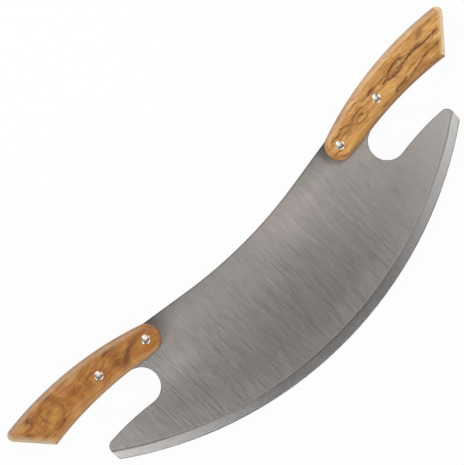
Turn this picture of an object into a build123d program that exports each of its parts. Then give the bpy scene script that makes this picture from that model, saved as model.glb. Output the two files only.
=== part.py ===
from build123d import *
from math import cos, radians, sin, sqrt, tan
import os

# Rocking pizza knife. One long steel plate carries a curved cutting edge below and a tang at
# each end, and every tang lies between two wooden scales held by two riveted studs.
# The knife lies on its back: +X along the blade, +Y from the cutting edge to the spine,
# +Z up through the front face. Lengths are millimetres and angles are degrees.

# Steel plate
plate_thickness = 2.5
blade_length = 350
rocker_radius = 302
spine_radius = 361.5
spine_slope = 8.9
edge_break = 0.3

# Ground cutting edge
bevel_width = 8.2
bevel_radius_gain = 4.6
shoulder_thickness = 0.55
hone_width = 0.7
edge_thickness = 0.1

# Horns, the two pointed ends of the blade below the fingers
horn_length = 48.8
horn_depth = 13.2
horn_radius = 202
horn_crest_setback = 18.5
horn_top_rounding = 5.6
horn_foot_rounding = 4.3

# Finger notches between the horns and the handles
notch_radius = 14.1

# Wooden scales, the four halves of the two handles
scale_thickness = 7.5
grip_depth = 31.1
grip_reach = 102.5
grip_slant = 41.1
lower_radius = 291
lower_crest_reach = 34.6
upper_radius = 274
upper_crest_reach = 58.1
nose_radius = 11.2
toe_rounding = 4.7
round_over = 3.8
spine_corner_setback = 3.2

# Two-part rivets: a stud pressed into a tube, each with a low crowned head sunk in the wood
rivet_spacing = 43
head_radius = 3.3
head_depth = 1.6
head_crown = 0.6
crown_flat_share = 0.5
tube_radius = 2.3
stud_radius = 1.5
shank_end_gap = 0.6
fit_clearance = 0.02
sink_clearance = 0.05


def meeting_point(start, direction, centre, radius, nearest=False):
    """Where the ray from start along a unit direction meets a circle."""
    offset = start - centre
    along = offset.dot(direction)
    root = sqrt(along**2 - offset.dot(offset) + radius**2)
    return start + direction * (-along - root if nearest else root - along)


def rim_point(centre, towards, radius):
    """The point of a circle on the line from its centre towards another point."""
    return centre + (towards - centre).normalized() * radius


def quarter_turn(direction):
    """A direction turned a quarter of a circle to its left."""
    return Vector(-direction.Y, direction.X)


# Heights are chained upwards from the lowest point of the cutting edge, and every size of
# the right-hand end is measured from the horn's tip or from the centre of the finger notch.
tip_x = blade_length / 2
tip_foot_rise = rocker_radius - sqrt(rocker_radius**2 - tip_x**2)
horn_centre = Vector(
    tip_x - horn_crest_setback,
    tip_foot_rise + horn_depth - sqrt(horn_radius**2 - horn_crest_setback**2),
)
notch_x = tip_x - horn_length
notch_centre = Vector(
    notch_x,
    horn_centre.Y + sqrt((horn_radius + notch_radius) ** 2 - (notch_x - horn_centre.X) ** 2),
)
lower_centre = notch_centre + Vector(
    lower_crest_reach, -sqrt((lower_radius - notch_radius) ** 2 - lower_crest_reach**2)
)
upper_centre = Vector(
    notch_x + upper_crest_reach, lower_centre.Y + lower_radius + grip_depth - upper_radius
)
overall_height = upper_centre.Y + upper_radius

# The frame's origin is halfway up the knife, so everything moves down by half its height.
to_frame = Vector(0, -overall_height / 2)
edge_y = to_frame.Y
rocker_centre = to_frame + Vector(0, rocker_radius)
horn_centre += to_frame
notch_centre += to_frame
lower_centre += to_frame
upper_centre += to_frame

# The horn's squared end, with a rounding above and below
horn_top_centre = Vector(
    tip_x - horn_top_rounding,
    horn_centre.Y
    + sqrt((horn_radius - horn_top_rounding) ** 2 - (horn_crest_setback - horn_top_rounding) ** 2),
)
foot_centre_x = tip_x - horn_foot_rounding
horn_foot_centre = Vector(
    foot_centre_x,
    rocker_centre.Y - sqrt((rocker_radius - horn_foot_rounding) ** 2 - foot_centre_x**2),
)
foot_point = rim_point(rocker_centre, horn_foot_centre, rocker_radius)
horn_end_low = horn_foot_centre + Vector(horn_foot_rounding, 0)
horn_end_high = horn_top_centre + Vector(horn_top_rounding, 0)
horn_shoulder = rim_point(horn_centre, horn_top_centre, horn_radius)
horn_root = rim_point(horn_centre, notch_centre, horn_radius)
notch_side = notch_centre - Vector(notch_radius, 0)
finger_top = rim_point(lower_centre, notch_centre, lower_radius)

# The handle's slanted end, from the sharp heel below to the rounded toe above
slant_up = Vector(sin(radians(grip_slant)), cos(radians(grip_slant)))
slant_in = quarter_turn(slant_up)
slant_top = Vector(notch_x + grip_reach, upper_centre.Y + upper_radius)
heel = meeting_point(slant_top, -slant_up, lower_centre, lower_radius, True)
toe_centre = meeting_point(
    heel + slant_in * toe_rounding, slant_up, upper_centre, upper_radius - toe_rounding
)
toe_low = toe_centre - slant_in * toe_rounding
toe_high = rim_point(upper_centre, toe_centre, upper_radius)

# The handle's round inner end, which lies over the steel. Its lower edge carries straight on
# from the finger notch, and its upper edge ends where the steel spine comes out of the wood.
inward = quarter_turn((finger_top - lower_centre).normalized())
nose_centre = meeting_point(
    finger_top - quarter_turn(inward) * nose_radius, inward, upper_centre, upper_radius - nose_radius
)
nose_low = nose_centre + quarter_turn(inward) * nose_radius
nose_side = nose_centre - Vector(nose_radius, 0)
nose_high = rim_point(upper_centre, nose_centre, upper_radius)

# The hollow spine: an arc in the middle and a straight run up to each handle
spine_end_x = nose_high.X - spine_corner_setback
spine_end = Vector(
    spine_end_x, upper_centre.Y + sqrt(upper_radius**2 - (spine_end_x - upper_centre.X) ** 2)
)
spine_arc_x = spine_radius * sin(radians(spine_slope))
spine_arc_end = spine_end - Vector(1, tan(radians(spine_slope))) * (spine_end_x - spine_arc_x)
spine_middle = Vector(0, spine_arc_end.Y - spine_radius * (1 - cos(radians(spine_slope))))

# Heights of the layers above the surface that the knife lies on
back_face_z = head_crown
plate_back_z = back_face_z + scale_thickness
plate_middle_z = plate_back_z + plate_thickness / 2
plate_front_z = plate_back_z + plate_thickness
front_face_z = plate_front_z + scale_thickness

# Rivet places on the right-hand handle: one in the middle of the nose, and one further out
# on a line along the nose's lower edge
rivet_points = {"inner": nose_centre, "outer": nose_centre - inward * rivet_spacing}
tube_hole_radius = tube_radius + fit_clearance


def draw_grip_end():
    """The grip's outline beyond the finger notch, from below round its end to the nose."""
    RadiusArc(finger_top, heel, lower_radius)
    Line(heel, toe_low)
    RadiusArc(toe_low, toe_high, -toe_rounding)
    RadiusArc(toe_high, nose_high, -upper_radius)


def is_bare_steel(edge):
    """True for an edge of the plate's outline that neither the wood nor the bevel takes."""
    middle = edge.center()
    under_wood = abs(middle.X) > spine_end.X and middle.Y > finger_top.Y
    return middle.Y > foot_point.Y and not under_wood


# Blade: the plate is cut out, its bare edges are broken, its cutting edge is ground to a long
# bevel on both faces and honed, and the two tangs are part of the same steel.
bevel_lines = [
    (plate_thickness, rocker_radius + bevel_radius_gain, bevel_width),
    (shoulder_thickness, rocker_radius, hone_width),
    (edge_thickness, rocker_radius, 0),
]
with BuildPart() as blade:
    with BuildSketch(Plane.XY.offset(plate_back_z)):
        with BuildLine():
            RadiusArc((0, edge_y), foot_point, -rocker_radius)
            RadiusArc(foot_point, horn_end_low, -horn_foot_rounding)
            Line(horn_end_low, horn_end_high)
            RadiusArc(horn_end_high, horn_shoulder, -horn_top_rounding)
            RadiusArc(horn_shoulder, horn_root, -horn_radius)
            ThreePointArc(horn_root, notch_side, finger_top)
            Line(finger_top, nose_high)
            RadiusArc(nose_high, spine_end, -upper_radius)
            Line(spine_end, spine_arc_end)
            RadiusArc(spine_arc_end, spine_middle, spine_radius)
            mirror(about=Plane.YZ)
        make_face()
    extrude(amount=plate_thickness)
    chamfer(faces().filter_by(Axis.Z).edges().filter_by(is_bare_steel), edge_break)
    for side in (-1, 1):
        for thickness, radius, rise in bevel_lines[::-side]:
            with BuildSketch(Plane.XY.offset(plate_middle_z + side * thickness / 2)):
                with Locations((0, edge_y + rise + radius)):
                    Circle(radius)
    loft(ruled=True, mode=Mode.INTERSECT)
    with BuildSketch(Plane.XY.offset(plate_back_z)):
        with BuildLine():
            draw_grip_end()
            Line(nose_high, finger_top)
        make_face()
        mirror(about=Plane.YZ)
    extrude(amount=plate_thickness)
    for point in rivet_points.values():
        with Locations((point.X, point.Y), (-point.X, point.Y)):
            Hole(tube_hole_radius)

# Wooden scale of the right-hand handle's front, rounded over where the hand closes on it. The
# round-over is worked as two flats, which meet its quarter circle at both ends and halfway.
halfway = radians(45)
steep_width = round_over * tan(halfway / 2)
shallow_width = round_over - steep_width
shallow_run = round_over * (1 - cos(halfway)) / cos(halfway / 2)
with BuildPart() as scale:
    with BuildSketch(Plane.XY.offset(plate_front_z)):
        with BuildLine():
            draw_grip_end()
            ThreePointArc(nose_high, nose_side, nose_low)
            Line(nose_low, finger_top)
        make_face()
    extrude(amount=scale_thickness)
    for face_width, wall_run in ((steep_width, round_over), (shallow_width, shallow_run)):
        top = faces().sort_by(Axis.Z)[-1]
        chamfer(top.edges(), face_width, wall_run, reference=top)
    for point in rivet_points.values():
        with Locations((point.X, point.Y, front_face_z)):
            CounterBoreHole(tube_hole_radius, head_radius + sink_clearance, head_depth)

# Rivets, drawn as turned parts with the plate's middle plane at zero height. Each half's
# head sits on the floor of its counterbore and its shank stops short of the other head. The
# head's crown slopes from a small flat top down to its rim, level with the wood.
head_seat_z = front_face_z - head_depth - plate_middle_z
head_rim_z = head_seat_z + head_depth
crown_top_z = head_rim_z + head_crown
head = [
    (0, crown_top_z),
    (head_radius * crown_flat_share, crown_top_z),
    (head_radius, head_rim_z),
    (head_radius, head_seat_z),
]
shank_end_z = shank_end_gap - head_seat_z
bore_radius = stud_radius + fit_clearance

# Front half: a solid stud below its head
with BuildPart() as stud:
    with BuildSketch(Plane.XZ):
        with BuildLine():
            Polyline(
                *head,
                (stud_radius, head_seat_z),
                (stud_radius, shank_end_z),
                (0, shank_end_z),
                close=True,
            )
        make_face()
    revolve(axis=Axis.Z)

# Back half: a tube below its head, drawn the same way up and turned over when it is placed
with BuildPart() as tube:
    with BuildSketch(Plane.XZ):
        with BuildLine():
            Polyline(
                *head,
                (tube_radius, head_seat_z),
                (tube_radius, shank_end_z),
                (bore_radius, shank_end_z),
                (bore_radius, head_seat_z),
                (0, head_seat_z),
                close=True,
            )
        make_face()
    revolve(axis=Axis.Z)

os.makedirs("parts", exist_ok=True)
blade.part.label = "blade"
export_step(blade.part, "parts/blade.step")

middle_plane = Plane.XY.offset(plate_middle_z)
for side in ("left", "right"):
    front_scale = scale.part if side == "right" else mirror(scale.part, about=Plane.YZ)
    back_scale = mirror(front_scale, about=middle_plane)
    for face_name, piece in (("front", front_scale), ("back", back_scale)):
        piece.label = f"{side}_{face_name}_scale"
        export_step(piece, f"parts/{piece.label}.step")
    for place, point in rivet_points.items():
        stand = (point.X if side == "right" else -point.X, point.Y, plate_middle_z)
        for half_name, half, turn in (("stud", stud, 0), ("tube", tube, 180)):
            with BuildPart() as rivet_half:
                with Locations(Location(stand, (turn, 0, 0))):
                    add(half.part)
            rivet_half.part.label = f"{side}_{place}_rivet_{half_name}"
            export_step(rivet_half.part, f"parts/{rivet_half.part.label}.step")

overall_length = scale.part.bounding_box().max.X * 2
overall_thickness = front_face_z + head_crown
print("overall", overall_length, overall_height, overall_thickness)
print("blade height in the middle", spine_middle.Y - edge_y)
print("finger notch centre", notch_centre, "rivets", *rivet_points.values())
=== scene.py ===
# %% [markdown]
# # A rocking pizza knife
# The real knife is one long steel plate with a curved cutting edge and an olive-wood handle
# riveted to each end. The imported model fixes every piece's size and place. This lesson dresses
# it: brushed and ground steel, figured wood with softened edges, and polished rivet heads.

# %% Load the model
from math import cos, pi, radians, sin

import bmesh
import bpy
from mathutils import Matrix, Vector


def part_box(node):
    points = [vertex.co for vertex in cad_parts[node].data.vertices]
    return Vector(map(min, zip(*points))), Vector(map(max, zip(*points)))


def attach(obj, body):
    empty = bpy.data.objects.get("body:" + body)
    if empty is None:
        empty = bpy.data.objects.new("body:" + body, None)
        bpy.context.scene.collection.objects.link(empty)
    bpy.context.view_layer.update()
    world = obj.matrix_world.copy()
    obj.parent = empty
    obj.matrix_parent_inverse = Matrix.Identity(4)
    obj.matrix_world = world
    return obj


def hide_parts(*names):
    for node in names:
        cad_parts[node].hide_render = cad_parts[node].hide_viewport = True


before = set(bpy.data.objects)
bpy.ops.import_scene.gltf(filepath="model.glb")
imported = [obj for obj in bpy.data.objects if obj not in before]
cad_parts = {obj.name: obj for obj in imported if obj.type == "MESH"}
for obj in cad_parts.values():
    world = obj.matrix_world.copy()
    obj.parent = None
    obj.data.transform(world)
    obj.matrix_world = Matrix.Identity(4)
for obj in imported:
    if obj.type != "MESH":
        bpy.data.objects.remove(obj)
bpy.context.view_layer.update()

mm = 0.001
scene = bpy.context.scene

# %% [markdown]
# ## Camera
# The knife was photographed from straight above, lying diagonally in a square picture. A long
# lens far away keeps the two ends as large as the middle. The camera looks down on the plate,
# and an eighth of a turn brings the right-hand handle to the upper right corner.

# %% Camera over the plate
blade_low, blade_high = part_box("blade")
view_middle = Vector((-0.6 * mm, 50 * mm, (blade_low.z + blade_high.z) / 2))
view_width = 337.2 * mm
camera_distance = 3.0
camera_turn = radians(-45)

camera = bpy.data.objects.new("camera", bpy.data.cameras.new("camera"))
scene.collection.objects.link(camera)
camera.location = view_middle + Vector((0, 0, camera_distance))
camera.rotation_euler = (0, 0, camera_turn)
camera.data.sensor_fit = "HORIZONTAL"
camera.data.lens = camera.data.sensor_width * camera_distance / view_width
scene.camera = camera
scene.view_settings.view_transform = "Standard"
print("lens", round(camera.data.lens, 1), "mm")

# %% [markdown]
# ## Node helpers
# Every finish below is a small program of nodes. Short helpers keep those programs readable.
# One makes a node and feeds it, and the others take a single step with it: arithmetic, a step
# on vectors, a blend, a change of range, or noise. The same node would otherwise be written
# out a hundred times, and a mistake in it would be hard to find.


# %% One node, and single steps with it
def feed(tree, node, links):
    """Feeds a node's inputs by name or number, from sockets or from plain values."""
    for key, value in links.items():
        if isinstance(value, bpy.types.NodeSocket):
            tree.links.new(value, node.inputs[key])
        else:
            node.inputs[key].default_value = value


def add_node(tree, kind, links=None, **settings):
    """A new node with its settings, fed with links."""
    node = tree.nodes.new(kind)
    for name, value in settings.items():
        setattr(node, name, value)
    feed(tree, node, links or {})
    return node


def compute(tree, operation, *values, clamp=False):
    """One step of arithmetic on sockets or numbers."""
    links = dict(enumerate(values))
    node = add_node(tree, "ShaderNodeMath", links, operation=operation, use_clamp=clamp)
    return node.outputs[0]


def gap_between(tree, first, second):
    """How far apart two numbers are."""
    return compute(tree, "ABSOLUTE", compute(tree, "SUBTRACT", first, second))


def compute_vector(tree, operation, *vectors):
    """One step on vectors. DISTANCE, DOT_PRODUCT and LENGTH give a number."""
    links = dict(enumerate(vectors))
    outputs = add_node(tree, "ShaderNodeVectorMath", links, operation=operation).outputs
    gives_number = operation in ("DISTANCE", "DOT_PRODUCT", "LENGTH")
    return outputs["Value"] if gives_number else outputs["Vector"]


def split(tree, vector):
    """The three parts of a vector."""
    return tuple(add_node(tree, "ShaderNodeSeparateXYZ", {0: vector}).outputs)


def join(tree, x, y, z=0.0):
    """A vector from its three parts."""
    return add_node(tree, "ShaderNodeCombineXYZ", {0: x, 1: y, 2: z}).outputs[0]


def blend_values(tree, share, under, over):
    """The number between two numbers, where share is how much of the second counts."""
    return add_node(tree, "ShaderNodeMix", {0: share, 2: under, 3: over}).outputs[0]


def blend_colours(tree, share, under, over):
    """The colour between two colours, where share is how much of the second shows."""
    links = {0: share, 6: under, 7: over}
    return add_node(tree, "ShaderNodeMix", links, data_type="RGBA").outputs[2]


def tint(tree, mask, strength, colour, tone):
    """A colour with a tone laid over it where a mask shows, at some strength."""
    return blend_colours(tree, compute(tree, "MULTIPLY", mask, strength), colour, tone)


def rescale(tree, value, start, end, low=0.0, high=1.0, smooth=True):
    """value, taken from the range start to end into the range low to high."""
    links = {0: value, 1: start, 2: end, 3: low, 4: high}
    kind = "SMOOTHSTEP" if smooth else "LINEAR"
    return add_node(tree, "ShaderNodeMapRange", links, interpolation_type=kind).outputs[0]


def noise(tree, place, size, detail, seed=None, roughness=0.5):
    """The outputs of soft noise with spots about one size wide. A seed gives another pattern."""
    links = {"Vector": place, "Scale": 1 / size, "Detail": detail, "Roughness": roughness}
    if seed is None:
        return add_node(tree, "ShaderNodeTexNoise", links).outputs
    links["W"] = seed
    return add_node(tree, "ShaderNodeTexNoise", links, noise_dimensions="4D").outputs


print("steps ready")

# %% [markdown]
# Steel and wood share some effects and set their sizes for themselves. A node group does that:
# it is built once, has named sockets, and is placed in each material with its own values.

# %% Groups and materials
FLOAT = "NodeSocketFloat"
VECTOR = "NodeSocketVector"


def new_group(name, inputs, outputs):
    """An empty shader group with named sockets, and its two end nodes."""
    tree = bpy.data.node_groups.new(name, "ShaderNodeTree")
    for socket_name, kind, value in inputs:
        socket = tree.interface.new_socket(socket_name, in_out="INPUT", socket_type=kind)
        if value is not None:
            socket.default_value = value
    for socket_name, kind in outputs:
        tree.interface.new_socket(socket_name, in_out="OUTPUT", socket_type=kind)
    start = tree.nodes.new("NodeGroupInput")
    end = tree.nodes.new("NodeGroupOutput")
    return tree, start.outputs, end.inputs


def use_group(tree, group, links):
    """The outputs of a group that is placed in a material with this material's own values."""
    return add_node(tree, "ShaderNodeGroup", links, node_tree=group).outputs


def new_material(name):
    """A material with a Principled shader, its tree, and the node that gives its places."""
    material = bpy.data.materials.new(name)
    material.use_nodes = True
    tree = material.node_tree
    shader = tree.nodes["Principled BSDF"]
    given = add_node(tree, "ShaderNodeTexCoord").outputs
    return material, tree, shader, given


print("groups and materials ready")

# %% [markdown]
# ## Studio
# Steel shows what stands round it, so the studio matters as much as the metal. In reflections
# the air is white near the horizon and black overhead, like a light tent with an open top, and
# the flat steel seen from above mirrors its darker part. Matt surfaces get a softer, dimmer
# air. The Light Path node tells the two apart. Five soft lamps stand round the knife, one on
# each of its four sides and one nearly overhead. The floor is white to the camera and in
# reflections, but still takes the knife's shadow.

# %% The air round the knife
tent_heights = (0.10, 0.60)
tent_levels = (1.0, 0.0)
soft_heights = (0.25, 0.95)
soft_levels = (0.40, 0.15)

air = bpy.data.worlds.new("studio_air")
air.use_nodes = True
scene.world = air
tree = air.node_tree
path = add_node(tree, "ShaderNodeLightPath").outputs
direction = add_node(tree, "ShaderNodeTexCoord").outputs["Generated"]
height = split(tree, direction)[2]
tent = rescale(tree, height, *tent_heights, *tent_levels)
soft = rescale(tree, height, *soft_heights, *soft_levels)
shiny = compute(tree, "ADD", path["Is Glossy Ray"], path["Is Transmission Ray"], clamp=True)
level = blend_values(tree, shiny, soft, tent)
level = blend_values(tree, path["Is Camera Ray"], level, 1.0)
tree.links.new(level, tree.nodes["Background"].inputs["Strength"])
tree.nodes["Background"].inputs["Color"].default_value = (1, 1, 1, 1)
print("air made")

# %% Lamps
lamp_distance = 1.0
# Turn from +X towards +Y and elevation, in degrees, then width, height and power in watts
lamp_settings = {
    "lamp_right": (0, 42, 0.35, 0.35, 1.7),
    "lamp_left": (180, 27, 0.35, 0.35, 2.25),
    "lamp_front": (-90, 40, 0.8, 0.4, 3.3),
    "lamp_over": (90, 78, 0.6, 0.2, 1.25),
    "lamp_back": (90, 38, 0.8, 0.6, 4.2),
}


def add_lamp(name, turn, elevation, width, height, power):
    """A lamp that faces the knife, with its width level."""
    lamp = bpy.data.objects.new(name, bpy.data.lights.new(name, "AREA"))
    scene.collection.objects.link(lamp)
    lamp.data.shape = "RECTANGLE"
    lamp.data.size = width
    lamp.data.size_y = height
    lamp.data.energy = power
    flat = cos(radians(elevation))
    out = Vector((flat * cos(radians(turn)), flat * sin(radians(turn)), sin(radians(elevation))))
    lamp.location = out * lamp_distance
    lamp.rotation_euler = out.to_track_quat("Z", "Y").to_euler()


for name, settings in lamp_settings.items():
    add_lamp(name, *settings)
print(len(lamp_settings), "lamps made")

# %% Floor
floor_half = 40.0
floor_tone = 0.9
white_share = 0.94

sheet = bpy.data.meshes.new("floor")
corners = [(-1, -1), (1, -1), (1, 1), (-1, 1)]
sheet.from_pydata([(x * floor_half, y * floor_half, 0) for x, y in corners], [], [(0, 1, 2, 3)])
floor = bpy.data.objects.new("floor", sheet)
scene.collection.objects.link(floor)
paint = bpy.data.materials.new("floor_paint")
paint.use_nodes = True
tree = paint.node_tree
tree.nodes.remove(tree.nodes["Principled BSDF"])
path = add_node(tree, "ShaderNodeLightPath").outputs
seen = compute(tree, "ADD", path["Is Camera Ray"], path["Is Glossy Ray"])
seen = compute(tree, "ADD", seen, path["Is Transmission Ray"], clamp=True)
glow = add_node(tree, "ShaderNodeEmission", {"Color": (1, 1, 1, 1)}).outputs[0]
matt_colour = (floor_tone, floor_tone, floor_tone, 1)
matt = add_node(tree, "ShaderNodeBsdfDiffuse", {"Color": matt_colour}).outputs[0]
share = compute(tree, "MULTIPLY", seen, white_share)
mixed = add_node(tree, "ShaderNodeMixShader", {0: share, 1: matt, 2: glow}).outputs[0]
tree.links.new(mixed, tree.nodes["Material Output"].inputs["Surface"])
sheet.materials.append(paint)
print("floor made")

# %% [markdown]
# ## Shared effects
# Brush marks on steel and fibres in wood are the same thing to a renderer: noise that is drawn
# out along one direction. One group makes both. It takes a place whose first part runs along
# the marks and whose second part runs across them, in metres.


# %% Streaks
def make_streaks():
    """Noise drawn out along one direction."""
    inputs = [
        ("Place", VECTOR, None),
        ("Mark Length", FLOAT, 20 * mm),
        ("Mark Width", FLOAT, 0.4 * mm),
        ("Seed", FLOAT, 0.0),
    ]
    tree, given, result = new_group("streaks", inputs, [("Streaks", FLOAT)])
    part = split(tree, given["Place"])
    along = compute(tree, "DIVIDE", part[0], given["Mark Length"])
    across = compute(tree, "DIVIDE", part[1], given["Mark Width"])
    deep = compute(tree, "DIVIDE", part[2], given["Mark Width"])
    marks = noise(tree, join(tree, along, across, deep), 1.0, 3.0, given["Seed"])
    tree.links.new(marks[0], result["Streaks"])
    return tree


streaks = make_streaks()


def draw_streaks(tree, place, length, width, seed):
    """Streaks of one length and width in a material."""
    links = {"Place": place, "Mark Length": length, "Mark Width": width, "Seed": seed}
    return use_group(tree, streaks, links)[0]


print("group", streaks.name)

# %% [markdown]
# Hands wear a wooden handle most where it is rounded. A mask for that could be painted by hand,
# but the surface already says where it is round: the flat face looks straight up or down, and
# the rim leans. The second group turns that lean into a mask, for both woods.


# %% Rounded edges
def make_rounded_edge():
    """0 on a board's flat face, and 1 where the surface leans as far as Full."""
    inputs = [("Normal", VECTOR, None), ("Start", FLOAT, 0.9995), ("Full", FLOAT, 0.95)]
    tree, given, result = new_group("rounded_edge", inputs, [("Mask", FLOAT)])
    upright = compute(tree, "ABSOLUTE", split(tree, given["Normal"])[2])
    tree.links.new(rescale(tree, upright, given["Start"], given["Full"]), result["Mask"])
    return tree


rounded_edge = make_rounded_edge()
print("group", rounded_edge.name)

# %% [markdown]
# ## Blade
# The real blade is cut from sheet steel, brushed square to its length, and ground to a bevel
# along its curved edge. The model's own mesh is right, but its triangles are loose, so a copy
# is welded and shaded smoothly. That keeps the true grind, which a mesh drawn anew might miss.
# The faces of the bevel, the honed edge and the sheared rim carry marks for the finish.

# %% Weld a copy of a CAD node
weld_gap = 0.001 * mm


def welded_copy(node):
    """A copy of a CAD node's triangles, joined into one closed skin."""
    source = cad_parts[node].data
    skin = bmesh.new()
    for vertex in source.vertices:
        skin.verts.new(vertex.co)
    skin.verts.ensure_lookup_table()
    for polygon in source.polygons:
        skin.faces.new([skin.verts[i] for i in polygon.vertices])
    bmesh.ops.remove_doubles(skin, verts=skin.verts, dist=weld_gap)
    return skin


def add_piece(name, mesh, body="root"):
    """A finished mesh as a named object at the origin, riding on the knife's body."""
    piece = bpy.data.objects.new(name, mesh)
    scene.collection.objects.link(piece)
    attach(piece, body)
    return piece


print("the blade's node has", len(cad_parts["blade"].data.vertices), "loose vertices")

# %% Blade from the CAD node
flat_limit = cos(radians(1))
ground_limit = cos(radians(12))
honed_limit = cos(radians(25))
broken_limit = cos(radians(60))
hard_turn = radians(16)
marked_kinds = {"ground": (1, 2), "honed": (2,), "sheared": (3, 4)}


def surface_kind(face):
    """0 for flats, 1 for the bevel, 2 for the honed edge, 3 for broken edges, 4 for walls."""
    upright = abs(face.normal.z)
    limits = (flat_limit, ground_limit, honed_limit, broken_limit)
    return sum(upright < limit for limit in limits)


skin = welded_copy("blade")
for mark, kinds in marked_kinds.items():
    layer = skin.faces.layers.float.new(mark)
    for face in skin.faces:
        face[layer] = float(surface_kind(face) in kinds)
for face in skin.faces:
    face.smooth = True
for edge in skin.edges:
    kinds = {surface_kind(face) for face in edge.link_faces}
    edge.smooth = len(kinds) == 1 and edge.calc_face_angle(0) < hard_turn
blade_mesh = bpy.data.meshes.new("steel_blade")
skin.to_mesh(blade_mesh)
skin.free()
blade = add_piece("steel_blade", blade_mesh)
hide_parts("blade")
print("blade", len(blade_mesh.polygons), "faces")

# %% [markdown]
# ## Wooden scales
# Each handle is two boards of olive wood, sawn to shape and rounded over with a router. The
# outline is read from the model's node and raised to a board, and a Bevel modifier rounds its
# outer rim. Turned cutters then sink the counterbores for the rivet heads, as a drill would.

# %% Outline of a scale
rim_round = 3.8 * mm
rim_segments = 8


def outline_of(node, height):
    """The longest loop of a node's flat side at a height, as ordered points."""
    skin = welded_copy(node)
    flat = [f for f in skin.faces if all(abs(v.co.z - height) < weld_gap for v in f.verts)]
    flat_set = set(flat)
    rim = [e for f in flat for e in f.edges if len(flat_set.intersection(e.link_faces)) == 1]
    loops = []
    while rim:
        edge = rim.pop()
        loop = [edge.verts[0], edge.verts[1]]
        while loop[-1] is not loop[0]:
            edge = next(e for e in loop[-1].link_edges if e in rim)
            rim.remove(edge)
            loop.append(edge.other_vert(loop[-1]))
        loops.append([v.co.copy() for v in loop[:-1]])
    skin.free()
    return max(loops, key=len)


print("outline points", len(outline_of("right_front_scale", blade_high.z)))

# %% [markdown]
# The holes in the wood are round, so their cutters are profiles turned about an axis, as on a
# lathe. They take their sizes from the rivets, with a hair added round each head, so that the
# metal never cuts into the wood.

# %% Turned shapes
turned_steps = 48


def turned_mesh(name, profile):
    """A closed solid of revolution about Z from (radius, height) points, axis to axis."""
    skin = bmesh.new()
    verts = [skin.verts.new((radius, 0, height)) for radius, height in profile]
    edges = [skin.edges.new(pair) for pair in zip(verts, verts[1:])]
    bmesh.ops.spin(
        skin, geom=verts + edges, axis=(0, 0, 1), cent=(0, 0, 0), dvec=(0, 0, 0),
        angle=2 * pi, steps=turned_steps, use_merge=True,
    )
    bmesh.ops.remove_doubles(skin, verts=skin.verts, dist=weld_gap)
    bmesh.ops.recalc_face_normals(skin, faces=skin.faces)
    mesh = bpy.data.meshes.new(name)
    skin.to_mesh(mesh)
    skin.free()
    return mesh


print("a turned shape has", turned_steps, "steps")

# %% Sizes that the rivets and their holes share
sides = ("left", "right")
rivet_places = ("inner", "outer")
rivet_halves = {"front": "stud", "back": "tube"}
wood_low, wood_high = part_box("right_front_scale")
stud_low, stud_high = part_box("right_inner_rivet_stud")
plate_middle = (blade_low.z + blade_high.z) / 2
head_radius = (stud_high.x - stud_low.x) / 2
head_crown = stud_high.z - wood_high.z
head_depth = 1.6 * mm
bore_gap = 0.05 * mm
shank_radius = 2.3 * mm
cut_over = 1.0 * mm


def rivet_centres(face):
    """Each rivet's middle on the wood of the front or the back, on both handles."""
    half = rivet_halves[face]
    level = wood_high.z if face == "front" else 2 * plate_middle - wood_high.z
    centres = []
    for side in sides:
        for place in rivet_places:
            low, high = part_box(f"{side}_{place}_rivet_{half}")
            centres.append(Vector(((low.x + high.x) / 2, (low.y + high.y) / 2, level)))
    return centres


print("rivet heads", round(2 * head_radius / mm, 2), "mm wide")


# %% One board, raised and drilled
def raise_board(name, points, inner, outer):
    """A board from its outline, with its outer rim marked for rounding."""
    skin = bmesh.new()
    weights = skin.edges.layers.float.new("bevel_weight_edge")
    bottom = [skin.verts.new((p.x, p.y, inner)) for p in points]
    top = [skin.verts.new((p.x, p.y, outer)) for p in points]
    skin.faces.new(bottom)
    skin.faces.new(top)
    for i in range(len(points)):
        j = (i + 1) % len(points)
        skin.faces.new((bottom[i], bottom[j], top[j], top[i]))
        skin.edges.get((top[i], top[j]))[weights] = 1.0
    bmesh.ops.recalc_face_normals(skin, faces=skin.faces)
    board = bpy.data.meshes.new(name)
    skin.to_mesh(board)
    skin.free()
    return board


def add_drill(maker, centre, profile):
    """A turned cutter at one rivet's middle, and the modifier that sinks it in the board."""
    shape = turned_mesh("cutter", profile)
    shape.transform(Matrix.Translation(centre))
    cutter = bpy.data.objects.new("cutter", shape)
    scene.collection.objects.link(cutter)
    drill = maker.modifiers.new("drill", "BOOLEAN")
    drill.object = cutter
    drill.solver = "EXACT"
    return cutter


def plain_copy(maker, name, helpers=()):
    """What a maker's modifiers give, as a plain mesh. The maker and its helpers are removed."""
    graph = bpy.context.evaluated_depsgraph_get()
    mesh = bpy.data.meshes.new_from_object(maker.evaluated_get(graph))
    mesh.name = name
    for extra in (maker, *helpers):
        bpy.data.objects.remove(extra)
    return mesh


print("boards are rounded by", round(rim_round / mm, 2), "mm")


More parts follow.
